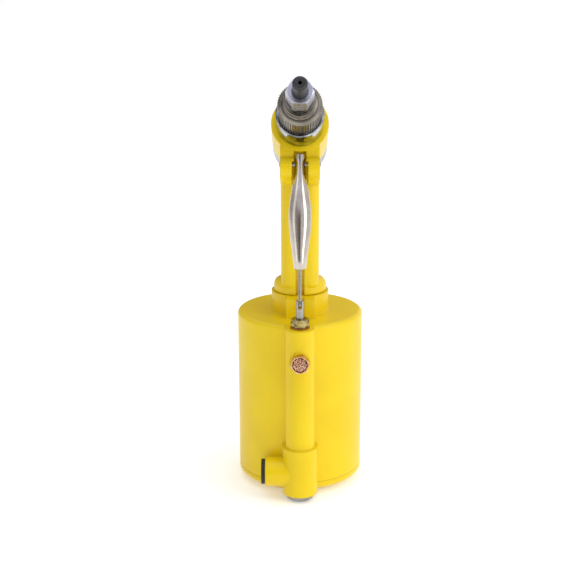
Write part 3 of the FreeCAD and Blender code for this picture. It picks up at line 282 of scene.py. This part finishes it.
# %% [markdown]
# ## Modelling helpers
# Lathe work is drawn ring by ring, as a turner cuts it: a circle is extruded along the axis and scaled to each new
# radius. The same moves with only half a circle draw a pressed leaf. A finished piece is turned into its place and
# its transform is applied, so that it sits at the origin like the CAD pieces.


# %% Rings, selections and finished pieces
def draw_rings(rings, vertices):
    """Draws a tube along Z from rings of half width, half depth, shift along Y and height, in millimetres."""
    bpy.ops.object.select_all(action="DESELECT")
    half_x, half_y, shift, height = rings[0]
    bpy.ops.mesh.primitive_circle_add(vertices=vertices, radius=MM, location=(0, 0, 0))
    bpy.ops.object.mode_set(mode="EDIT")
    bpy.ops.mesh.select_mode(type="VERT")
    bpy.ops.mesh.select_all(action="SELECT")
    bpy.ops.transform.resize(value=(half_x, half_y, 1), center_override=(0, 0, 0))
    bpy.ops.transform.translate(value=(0, shift * MM, height * MM))
    for new_x, new_y, new_shift, new_height in rings[1:]:
        step = (0, (new_shift - shift) * MM, (new_height - height) * MM)
        bpy.ops.mesh.extrude_region_move(TRANSFORM_OT_translate={"value": step})
        bpy.ops.transform.resize(
            value=(new_x / half_x, new_y / half_y, 1), center_override=(0, new_shift * MM, new_height * MM)
        )
        half_x, half_y, shift, height = new_x, new_y, new_shift, new_height
    return bpy.context.object


def draw_turned(outline, vertices):
    """Draws a closed turned piece from corners of radius and height, in millimetres."""
    piece = draw_rings([(radius, radius, 0, height) for radius, height in outline], vertices)
    bpy.ops.mesh.select_all(action="SELECT")
    bpy.ops.mesh.remove_doubles(threshold=0.002 * MM)
    return piece


def select_faces(piece, wanted):
    """Selects the faces for which wanted is true."""
    bpy.ops.mesh.select_mode(type="FACE")
    bpy.ops.mesh.select_all(action="DESELECT")
    mesh = bmesh.from_edit_mesh(piece.data)
    for face in mesh.faces:
        face.select_set(wanted(face))
    bmesh.update_edit_mesh(piece.data)
    return sum(face.select for face in mesh.faces)


def finish_piece(piece, name, place, material, body, smooth_below=35):
    """Gives a piece its name, place, smooth shading, finish, body and material slot."""
    bpy.ops.object.mode_set(mode="EDIT")
    bpy.ops.mesh.select_all(action="SELECT")
    bpy.ops.mesh.normals_make_consistent(inside=False)
    bpy.ops.object.mode_set(mode="OBJECT")
    piece.name = name
    piece.matrix_world = place
    bpy.ops.object.transform_apply(location=True, rotation=True, scale=True)
    bpy.ops.object.shade_smooth_by_angle(angle=math.radians(smooth_below))
    if not piece.data.materials:
        piece.data.materials.append(material)
    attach(piece, body)
    print(name, len(piece.data.polygons), "faces")
    return piece


# %% [markdown]
# ## Knurled collar
# The collar that clamps the nose is turned from bar and straight-knurled: a wheel presses fifty-two ridges along its
# outside, so that wet fingers can unscrew it. In front of the ridges a rounded shoulder falls to a raised ring, and
# a groove parts it from the nut. The outline is turned first. Then every second face round the knurled band is inset
# and sunk, which leaves the ridges standing between as the knurling wheel does.

# %% Turn the collar and press its ridges
RIDGES = 52
BAND_BACK, BAND_FRONT, BAND_INNER = 46.7, 65.2, 14.5
RIDGE_EDGE, RIDGE_HIGH = 0.14, 0.5
collar = draw_turned(
    [
        (13.2, 45.9), (14.2, 45.95), (14.9, BAND_BACK), (14.9, BAND_FRONT), (14.35, 66.0), (13.5, 66.9),
        (12.9, 68.0), (12.3, 69.3), (11.9, 70.4), (11.75, 70.9), (11.2, 71.1), (11.2, 72.2), (10.8, 72.9),
        (10.2, 73.1), (8.25, 73.2), (8.2, 73.6), (8.2, 77.3), (6.8, 77.4), (6.8, 70.0), (13.2, 69.0),
        (13.2, 45.9),
    ],
    2 * RIDGES,
)


def in_every_second_gap(face):
    """True for the outer faces of the knurled band that lie in the gaps between its ridges."""
    centre = face.calc_center_median()
    number = round(math.atan2(centre.y, centre.x) / (math.pi / RIDGES) - 0.5)
    in_band = BAND_BACK * MM < centre.z < BAND_FRONT * MM
    return in_band and centre.xy.length > BAND_INNER * MM and number % 2 == 0


gaps = select_faces(collar, in_every_second_gap)
collar.data.materials.append(NICKEL)
# The sunk gaps take the second finish, which paints shade between the ridges.
collar.data.materials.append(KNURL_GAP_SHADE)
bpy.ops.mesh.inset(thickness=RIDGE_EDGE * MM, depth=-RIDGE_HIGH * MM, use_individual=True)
collar.active_material_index = 1
bpy.ops.object.material_slot_assign()
finish_piece(collar, "collar_with_ridges", HEAD_PLACE, NICKEL, "frame", 28)
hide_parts("knurled_collar")
print("gaps between ridges:", gaps)

# %% [markdown]
# ## Polished lever
# The lever is pressed from sheet steel into a long leaf and polished bright. Across its width it is convex, so that
# one side mirrors the light and the other the dark of the room, with a line of reflection between them. It is
# widest where the fingers pull it and runs out into a narrow bar at the pin and a blunt tongue at the link. Half a
# ring is carried down the lever's bow, widening and narrowing with the outline, and then thickened inwards.

# %% Draw the leaf, halve it and thicken it
LEVER_LONG = (LEVER_EYE - LEVER_PIN).length / MM
LEVER_TOP, LEVER_WIDE, LEVER_LOW = 2.85, 6.8, 3.45
LEVER_BOW, WIDEST_SHARE = 4, 0.53
ARCH, SET_BACK, CUT_BACK, SHEET = 6.0, 2.7, 2.75, 1.2
FIRST_RING, RING_STEP = -6.1, 1.8


def lever_width(down):
    """Half the lever's width at a distance below its pin, from two smooth curves that meet where it is widest."""
    widest = WIDEST_SHARE * LEVER_LONG
    if down < 0:
        return LEVER_TOP
    if down < widest:
        share = down / widest
        return LEVER_TOP + (LEVER_WIDE - LEVER_TOP) * share * share * (3 - 2 * share)
    share = min((down - widest) / (LEVER_LONG - widest), 1)
    return LEVER_WIDE + (LEVER_LOW - LEVER_WIDE) * share * share * (2.2 - 1.2 * share)


def lever_bow(down):
    """How far the lever's middle line stands out from the straight line between its two pins."""
    off_middle = 2 * down / LEVER_LONG - 1
    return LEVER_BOW * (1 - off_middle * off_middle)


leaf_rings = [(2.0, 4.2, lever_bow(-6.4) - SET_BACK, -6.5)]
for number in range(int((LEVER_LONG + 6.5) / RING_STEP) + 1):
    down = FIRST_RING + RING_STEP * number
    leaf_rings.append((lever_width(down), ARCH, lever_bow(down) - SET_BACK, down))
leaf_rings.append((3.2, 5.4, lever_bow(LEVER_LONG) - SET_BACK, LEVER_LONG + 2.0))
leaf_rings.append((2.3, 4.2, lever_bow(LEVER_LONG) - 2.8, LEVER_LONG + 2.9))
leaf = draw_rings(leaf_rings, 48)
bpy.ops.mesh.edge_face_add()


def behind_middle(face):
    """True for the half of each ring that lies on the handle's side of the sheet."""
    centre = face.calc_center_median()
    return centre.y / MM < lever_bow(min(max(centre.z / MM, -6.6), LEVER_LONG)) - CUT_BACK


print("faces of the half that is cut away:", select_faces(leaf, behind_middle))
bpy.ops.mesh.delete(type="FACE")
bpy.ops.object.mode_set(mode="OBJECT")
skin = leaf.modifiers.new("sheet", "SOLIDIFY")
skin.thickness = SHEET * MM
skin.offset = -1
bpy.ops.object.modifier_apply(modifier=skin.name)
along = (LEVER_EYE - LEVER_PIN).normalized()
outward = along.cross(Vector((1, 0, 0)))
leaf_place = Matrix((Vector((1, 0, 0)), outward, along)).transposed().to_4x4()
leaf_place.translation = LEVER_PIN
finish_piece(leaf, "polished_leaf_lever", leaf_place, POLISHED, "lever", 50)
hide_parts("trigger_lever")

# %% [markdown]
# ## Threaded link
# The link between lever and stem is a short threaded rod, so that the fitter can set its length, with a flat eye on
# each end. The thread is what catches the light as a row of fine beads. Its rings swell and shrink by a quarter of
# a millimetre at each turn, and each eye is a small flat ring turned about its own pin.

# %% Thread the rod and add its eyes
rod_down = FORK_PIN - LEVER_EYE
rod_long = rod_down.length / MM
PITCH, CREST, ROOT = 0.75, 1.22, 0.95
BARE_ENDS = 3.6
EYE_BORE, EYE_RADIUS, EYE_CHAMFER, EYE_HALF = 1.2, 2.0, 0.2, 1
thread = [(0.9, 1.6)]
for turn in range(int((rod_long - BARE_ENDS) / PITCH)):
    thread.append((CREST, 1.9 + PITCH * turn))
    thread.append((CREST, 2.05 + PITCH * turn))
    thread.append((ROOT, 2.3 + PITCH * turn))
rod = draw_turned(thread, 20)
bpy.ops.object.mode_set(mode="OBJECT")
rod_place = rod_down.to_track_quat("Z", "Y").to_matrix().to_4x4()
rod_place.translation = LEVER_EYE
finish_piece(rod, "threaded_link", rod_place, TURNED, "link", 60)
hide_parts("link_rod")
for name, centre in (("link_upper_eye", LEVER_EYE), ("link_lower_eye", FORK_PIN)):
    face_edge, rim_edge = EYE_RADIUS - EYE_CHAMFER, EYE_HALF - EYE_CHAMFER
    eye = draw_turned(
        [
            (EYE_BORE, -EYE_HALF), (face_edge, -EYE_HALF), (EYE_RADIUS, -rim_edge), (EYE_RADIUS, rim_edge),
            (face_edge, EYE_HALF), (EYE_BORE, EYE_HALF), (EYE_BORE, -EYE_HALF),
        ],
        32,
    )
    eye_place = Matrix.Translation(centre) @ Matrix.Rotation(math.pi / 2, 4, "Y")
    finish_piece(eye, name, eye_place, TURNED, "link", 40)

# %% [markdown]
# ## Sintered silencer disc
# The exhaust leaves through a disc of bronze grains that were sintered together just below their melting point, and
# the round grains can still be told apart. They are laid out on a spiral like the seeds of a sunflower, which
# packs a round face evenly, and each one is a little different in size and depth. The flat face between them is
# painted dark, as painted shade in the pores between the grains.

# %% Lay the grains on the disc
DISC_RADIUS, GRAINS = 4.9, 62
GRAIN_SMALL, GRAIN_LARGE, GRAIN_DEPTH = 0.5, 0.66, -65.55
CROWN, SEED_TURN, SMALLEST_FLAT = 0.75, math.radians(137.508), 1.5
random.seed(7)
bpy.ops.object.select_all(action="DESELECT")
bpy.ops.mesh.primitive_cylinder_add(
    vertices=48, radius=5.45 * MM, depth=1.6 * MM,
    location=(0, -64.9 * MM, SILENCER_HEIGHT * MM), rotation=(math.pi / 2, 0, 0),
)
disc = bpy.context.object
bpy.ops.object.transform_apply(location=True, rotation=True, scale=True)
bpy.ops.object.mode_set(mode="EDIT")
for number in range(GRAINS):
    reach = DISC_RADIUS * math.sqrt((number + 0.5) / GRAINS)
    turn = number * SEED_TURN
    crown = CROWN * (1 - (reach / DISC_RADIUS) ** 2)
    depth = GRAIN_DEPTH - crown + random.uniform(-0.08, 0.08)
    bpy.ops.mesh.primitive_ico_sphere_add(
        subdivisions=2, radius=random.uniform(GRAIN_SMALL, GRAIN_LARGE) * MM,
        location=(reach * math.cos(turn) * MM, depth * MM, (SILENCER_HEIGHT + reach * math.sin(turn)) * MM),
    )
bpy.ops.object.mode_set(mode="OBJECT")
finish_piece(disc, "sintered_bronze_grains", Matrix.Identity(4), GRAIN, "frame", 60)
# The flat faces between the grains take the dark finish, painted shade in the pores.
disc.data.materials.append(SHADE_BETWEEN_GRAINS)
for face in disc.data.polygons:
    if face.area > SMALLEST_FLAT * MM * MM:
        face.material_index = 1
print("grains:", GRAINS, "faces:", len(disc.data.polygons))
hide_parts("silencer_filter")

# %% [markdown]
# ## Springs
# Two coil springs are squeezed when the tool works: the one that pushes the head's piston forward again, and the one
# under the valve. Each is copied from its CAD coil into a mesh of its own, fixed to the frame, and the CAD coil is
# hidden.

# %% Copies of the springs
HEAD_SPRING_SEAT = on_head(-33.8)
VALVE_SPRING_SEAT = Vector((0, -50, 6)) * MM
for node, joint, axis, anchor, keep in (
    ("return_spring", "pull_stroke", NOSEWARD, HEAD_SPRING_SEAT, 0.44),
    ("valve_spring", "stem_push", Vector((0, 0, 1)), VALVE_SPRING_SEAT, 0.74),
):
    spring = NODES[node].copy()
    spring.data = NODES[node].data.copy()
    spring.name = node.replace("spring", "coil")
    spring.parent = None
    bpy.context.scene.collection.objects.link(spring)
    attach(spring, "frame")
    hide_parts(node)
    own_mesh(spring)
    print(spring.name, "keeps", keep)

# %% [markdown]
# ## Studio
# The tool stands on a plain white sweep under large soft lights, as small machines are usually shown: one big panel
# on each side for long soft reflections down the cylinder, and a broad one above. The floor glows a little of its
# own, so that it stays white as far as it reaches.

# %% Floor and lights
bpy.ops.object.select_all(action="DESELECT")
bpy.ops.mesh.primitive_plane_add(size=40, location=(0, 0, 0))
sweep = bpy.context.object
sweep.name = "pale_floor"
paper = new_material(
    "pale_studio_paper",
    {
        "Base Color": (0.98, 0.98, 0.98, 1), "Roughness": 0.9, "Emission Color": (1, 1, 1, 1),
        "Emission Strength": 0.28,
    },
)[0]
sweep.data.materials.append(paper)
MIDDLE = Vector((0, 0, 0.15))


def panel(name, spot, size, power):
    """Hangs a soft rectangular light at a spot, aimed at the middle of the tool."""
    light = bpy.data.lights.new(name, "AREA")
    light.shape = "RECTANGLE"
    light.size, light.size_y = size
    light.energy = power
    holder = bpy.data.objects.new(name, light)
    bpy.context.scene.collection.objects.link(holder)
    holder.location = spot
    holder.rotation_euler = (MIDDLE - Vector(spot)).to_track_quat("-Z", "Y").to_euler()


panel("left_panel", (-1.0, -0.5, 0.55), (0.5, 1.1), 1.2)
panel("right_panel", (0.95, -0.65, 0.5), (0.5, 1.1), 4)
panel("top_panel", (0.0, -0.1, 1.3), (1.2, 1.2), 3)

# %% [markdown]
# Paint and metal want different rooms. The paint is lit by a soft white room, a little dimmer on the left and
# brighter overhead. The polished metal mirrors another: warm grey on the left, a dark strip straight ahead and white
# on the right, under an even lavender ceiling, because bare metal only looks like metal when it has something dark
# to mirror. The backdrop itself stays plain white.

# %% A room for the paint and one for the mirrors
world = bpy.data.worlds.new("white_room")
world.use_nodes = True
room = world.node_tree
direction = add_node(room, "ShaderNodeTexCoord", {}, {}).outputs["Generated"]
split = add_node(room, "ShaderNodeSeparateXYZ", {}, {"Vector": direction})
across = add_node(
    room, "ShaderNodeMapRange", {"From Min": -1.0, "From Max": 1.0, "To Min": 0.0, "To Max": 1.0},
    {"Value": split.outputs["X"]},
)
soft = add_node(
    room, "ShaderNodeValToRGB", {"stops": [(0.15, "#B8B8B8"), (0.85, "#FFFFFF")]}, {"Fac": across.outputs["Result"]}
)
above = add_node(
    room, "ShaderNodeMapRange", {"From Min": 0.1, "From Max": 1.0, "To Min": 0.68, "To Max": 1.2},
    {"Value": split.outputs["Z"]},
)
mirrored = add_node(
    room, "ShaderNodeValToRGB",
    {"stops": [
        (0.0, "#D8D8DA"), (0.3, "#9C9591"), (0.47, "#6E6663"), (0.5, "#3A3231"), (0.53, "#8C8886"), (0.6, "#F4F4F4"),
        (1.0, "#FFFFFF"),
    ]},
    {"Fac": across.outputs["Result"]},
)
rays = add_node(room, "ShaderNodeLightPath", {}, {})
softly = add_node(
    room, "ShaderNodeBackground", {}, {"Color": soft.outputs["Color"], "Strength": above.outputs["Result"]}
)
walls = add_node(room, "ShaderNodeBackground", {"Strength": 0.9}, {"Color": mirrored.outputs["Color"]})
ceiling = add_node(room, "ShaderNodeBackground", {"Color": linear("#E6E6F2"), "Strength": 1.0}, {})
height = add_node(
    room, "ShaderNodeMapRange", {"From Min": 0.47, "From Max": 0.56, "To Min": 0.0, "To Max": 1.0},
    {"Value": split.outputs["Z"]},
)
sharply = add_node(room, "ShaderNodeMixShader", {}, {"Fac": height.outputs["Result"]})
plain = add_node(room, "ShaderNodeBackground", {"Color": (1, 1, 1, 1), "Strength": 1.0}, {})
lit = add_node(room, "ShaderNodeMixShader", {}, {"Fac": rays.outputs["Is Glossy Ray"]})
shown = add_node(room, "ShaderNodeMixShader", {}, {"Fac": rays.outputs["Is Camera Ray"]})
room.links.new(softly.outputs["Background"], lit.inputs[1])
room.links.new(walls.outputs["Background"], sharply.inputs[1])
room.links.new(ceiling.outputs["Background"], sharply.inputs[2])
room.links.new(sharply.outputs["Shader"], lit.inputs[2])
room.links.new(lit.outputs["Shader"], shown.inputs[1])
room.links.new(plain.outputs["Background"], shown.inputs[2])
room.links.new(shown.outputs["Shader"], room.nodes["World Output"].inputs["Surface"])
bpy.context.scene.world = world
bpy.context.scene.view_settings.view_transform = "Standard"

# %% [markdown]
# The camera looks down on the tool a little from straight in front of the nose.

# %% Camera
CAMERA_SPOT = (0, -0.850, 0.386)
CAMERA_DOWN = 15.6
camera_data = bpy.data.cameras.new("camera")
camera_data.lens = 73.1
camera_data.sensor_width = 36
camera_data.shift_x = -0.0208
camera = bpy.data.objects.new("camera", camera_data)
bpy.context.scene.collection.objects.link(camera)
camera.location = CAMERA_SPOT
camera.rotation_euler = (math.radians(90 - CAMERA_DOWN), 0, 0)
bpy.context.scene.camera = camera
print("camera:", tuple(camera.location))
